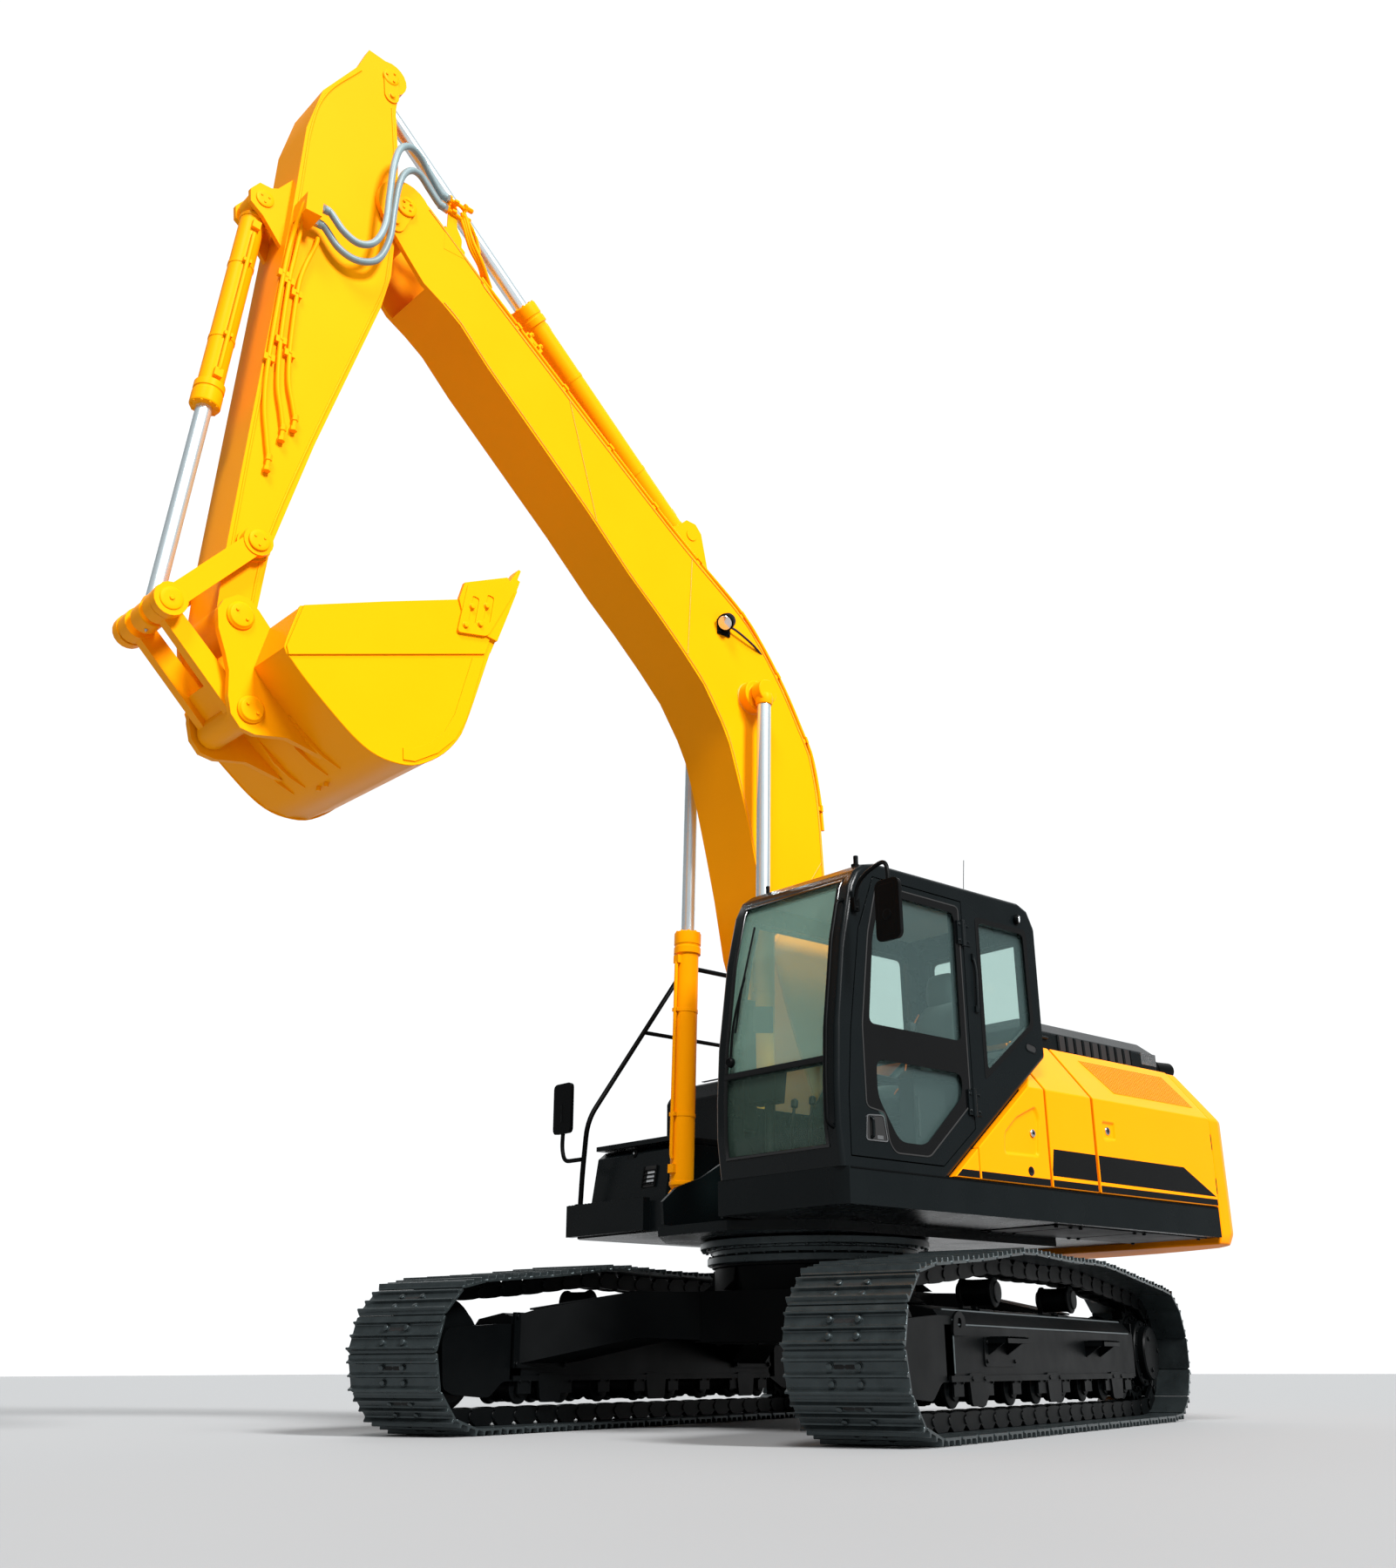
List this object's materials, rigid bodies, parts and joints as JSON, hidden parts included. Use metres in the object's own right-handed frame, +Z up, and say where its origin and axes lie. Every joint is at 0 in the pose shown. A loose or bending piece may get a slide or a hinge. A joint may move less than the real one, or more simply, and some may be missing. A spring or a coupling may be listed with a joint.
{
  "type": "crawler excavator",
  "caption": "Full-size crawler excavator with slewing upper machine, cab, boom, arm and bucket, its hydraulic cylinders as linked joints, and doors and hood that open.",
  "frame": {"origin": "middle of the whole machine's footprint on the ground, with the upper machine slewed 17.5 degrees to its right", "axes": "+X forward along the tracks, +Y to the left, +Z up"},
  "size_m": [7.4546, 3.8764, 7.904],
  "materials": {
    "body_yellow": "glossy yellow paint",
    "charcoal_paint": "satin charcoal paint",
    "black_paint": "semi-matt black paint",
    "track_steel": "dark bare steel",
    "chrome_rod": "polished hard chrome",
    "cab_glass": "faintly green glass",
    "seat_fabric": "woven grey-green fabric",
    "hose_rubber": "grey-blue hose cover",
    "bare_casting": "dark casting",
    "dark_plastic": "dark grained plastic"
  },
  "bodies": {
    "undercarriage": {"track_left": "track_steel", "track_right": "track_steel", "track_frame_left": "black_paint", "track_frame_right": "black_paint", "sprocket_left": "black_paint", "sprocket_right": "black_paint", "idler_left": "black_paint", "idler_right": "black_paint", "carbody": "black_paint", "slew_ring_lower": "bare_casting"},
    "house": {"slew_ring_upper": "bare_casting", "revolving_frame": "charcoal_paint", "counterweight": "body_yellow", "left_front_trim": "body_yellow", "left_middle_panel": "body_yellow", "machine_cover": "body_yellow", "exhaust_pipe": "black_paint", "engine": "bare_casting", "fuel_tank": "charcoal_paint", "hydraulic_tank": "body_yellow", "toolbox": "charcoal_paint", "guard_rail": "black_paint", "cab_shell": "charcoal_paint", "windscreen": "cab_glass", "windscreen_lower": "cab_glass", "left_rear_glass": "cab_glass", "right_glass": "cab_glass", "rear_glass": "cab_glass", "seat_base": "dark_plastic", "seat": "seat_fabric", "front_console": "dark_plastic", "left_mirror": "black_paint"},
    "engine_hood": {"engine_hood": "charcoal_paint"},
    "battery_door": {"battery_door": "body_yellow"},
    "cooling_door": {"cooling_door": "body_yellow"},
    "pump_door": {"pump_door": "body_yellow"},
    "toolbox_lid": {"toolbox_lid": "charcoal_paint"},
    "cab_door": {"cab_door": "charcoal_paint", "door_glass_upper": "cab_glass", "door_glass_lower": "cab_glass"},
    "boom": {"boom": "body_yellow", "arm_hose_1": "hose_rubber", "arm_hose_2": "hose_rubber"},
    "boom_cylinder_barrels": {"boom_cylinder_left": "body_yellow", "boom_cylinder_right": "body_yellow"},
    "boom_cylinder_rods": {"boom_rod_left": "chrome_rod", "boom_rod_right": "chrome_rod"},
    "arm": {"arm": "body_yellow"},
    "arm_cylinder_barrel": {"arm_cylinder": "body_yellow"},
    "arm_cylinder_rod": {"arm_rod": "chrome_rod"},
    "bucket_cylinder_barrel": {"bucket_cylinder": "body_yellow"},
    "bucket_cylinder_rod": {"bucket_rod": "chrome_rod"},
    "rockers": {"rocker_left": "body_yellow", "rocker_right": "body_yellow"},
    "bucket_link": {"bucket_link": "body_yellow"},
    "bucket": {"bucket": "body_yellow"}
  },
  "joints": [
    {"name": "swing", "type": "hinge", "parent": "undercarriage", "child": "house", "pos_m": [-0.7976, -0.1288, 0.982], "axis": [0, 0, 1], "continuous": true},
    {"name": "boom_lift", "type": "hinge", "parent": "house", "child": "boom", "pos_m": [-0.7976, -0.1288, 1.84], "axis": [-0.3007, -0.9537, 0], "range_deg": [-92, 3]},
    {"name": "boom_cylinder_tilt", "type": "hinge", "parent": "house", "child": "boom_cylinder_barrels", "pos_m": [-0.05752, -0.36215, 1.267], "axis": [-0.3007, -0.9537, 0], "range_deg": [-98.96, 4.19]},
    {"name": "boom_cylinder_stroke", "type": "slide", "parent": "boom_cylinder_barrels", "child": "boom_cylinder_rods", "axis": [-0.0315, 0.0099, 0.9995], "range_m": [-1.376, 0.055]},
    {"name": "arm_swing", "type": "hinge", "parent": "boom", "child": "arm", "pos_m": [2.51466, -1.17315, 6.837], "axis": [-0.3007, -0.9537, 0], "range_deg": [-4, 97], "deforming": ["arm_hose_1", "arm_hose_2"]},
    {"name": "arm_cylinder_tilt", "type": "hinge", "parent": "boom", "child": "arm_cylinder_barrel", "pos_m": [0.25149, -0.45958, 5.52], "axis": [-0.3007, -0.9537, 0], "range_deg": [-1.08, 2.87]},
    {"name": "arm_cylinder_stroke", "type": "slide", "parent": "arm_cylinder_barrel", "child": "arm_cylinder_rod", "axis": [0.7102, -0.2239, 0.6674], "range_m": [-1.444, 0.069]},
    {"name": "bucket_curl", "type": "hinge", "parent": "arm", "child": "bucket", "pos_m": [3.22232, -1.39627, 3.838], "axis": [-0.3007, -0.9537, 0], "range_deg": [-3, 150]},
    {"name": "rocker_swing", "type": "hinge", "parent": "arm", "child": "rockers", "pos_m": [3.17463, -1.38124, 4.284], "axis": [-0.3007, -0.9537, 0], "range_deg": [-3.25, 113.36]},
    {"name": "bucket_link_turn", "type": "hinge", "parent": "rockers", "child": "bucket_link", "pos_m": [3.56756, -1.50513, 3.81], "axis": [-0.3007, -0.9537, 0], "range_deg": [-58.15, 2.14]},
    {"name": "bucket_cylinder_tilt", "type": "hinge", "parent": "arm", "child": "bucket_cylinder_barrel", "pos_m": [3.30434, -1.42214, 6.496], "axis": [-0.3007, -0.9537, 0], "range_deg": [-1.82, 1.02]},
    {"name": "bucket_cylinder_stroke", "type": "slide", "parent": "bucket_cylinder_barrel", "child": "bucket_cylinder_rod", "axis": [0.0975, -0.0307, -0.9948], "range_m": [-1.053, 0.031]},
    {"name": "cab_door_hinge", "type": "hinge", "parent": "house", "child": "cab_door", "pos_m": [-0.271, 1.16891, 2.1], "axis": [0, 0, 1], "range_deg": [0, 165]},
    {"name": "engine_hood_hinge", "type": "hinge", "parent": "house", "child": "engine_hood", "pos_m": [-1.67693, 0.14845, 2.2], "axis": [0.3007, 0.9537, 0], "range_deg": [0, 65]},
    {"name": "battery_door_hinge", "type": "hinge", "parent": "house", "child": "battery_door", "pos_m": [-0.2687, 1.18286, 1.65], "axis": [0, 0, 1], "range_deg": [-90, 0]},
    {"name": "cooling_door_hinge", "type": "hinge", "parent": "house", "child": "cooling_door", "pos_m": [-2.58432, 1.91298, 1.65], "axis": [0, 0, 1], "range_deg": [0, 90]},
    {"name": "pump_door_hinge", "type": "hinge", "parent": "house", "child": "pump_door", "pos_m": [-3.43231, -0.7765, 1.65], "axis": [0, 0, 1], "range_deg": [-90, 0]},
    {"name": "toolbox_lid_hinge", "type": "hinge", "parent": "house", "child": "toolbox_lid", "pos_m": [-1.05972, -1.06323, 1.702], "axis": [-0.3007, -0.9537, 0], "range_deg": [0, 80]}
  ],
  "couplings": [
    {"joint": "boom_cylinder_tilt", "follows": "boom_lift", "ratio": 1.0648},
    {"joint": "boom_cylinder_stroke", "follows": "boom_lift", "m_per_rad": 0.85056},
    {"joint": "arm_cylinder_tilt", "follows": "arm_swing", "ratio": 0.01927},
    {"joint": "arm_cylinder_stroke", "follows": "arm_swing", "m_per_rad": -0.8473},
    {"joint": "rocker_swing", "follows": "bucket_curl", "ratio": 0.74906},
    {"joint": "bucket_link_turn", "follows": "bucket_curl", "ratio": -0.38101},
    {"joint": "bucket_cylinder_tilt", "follows": "bucket_curl", "ratio": -0.0055},
    {"joint": "bucket_cylinder_stroke", "follows": "bucket_curl", "m_per_rad": -0.39842}
  ]
}
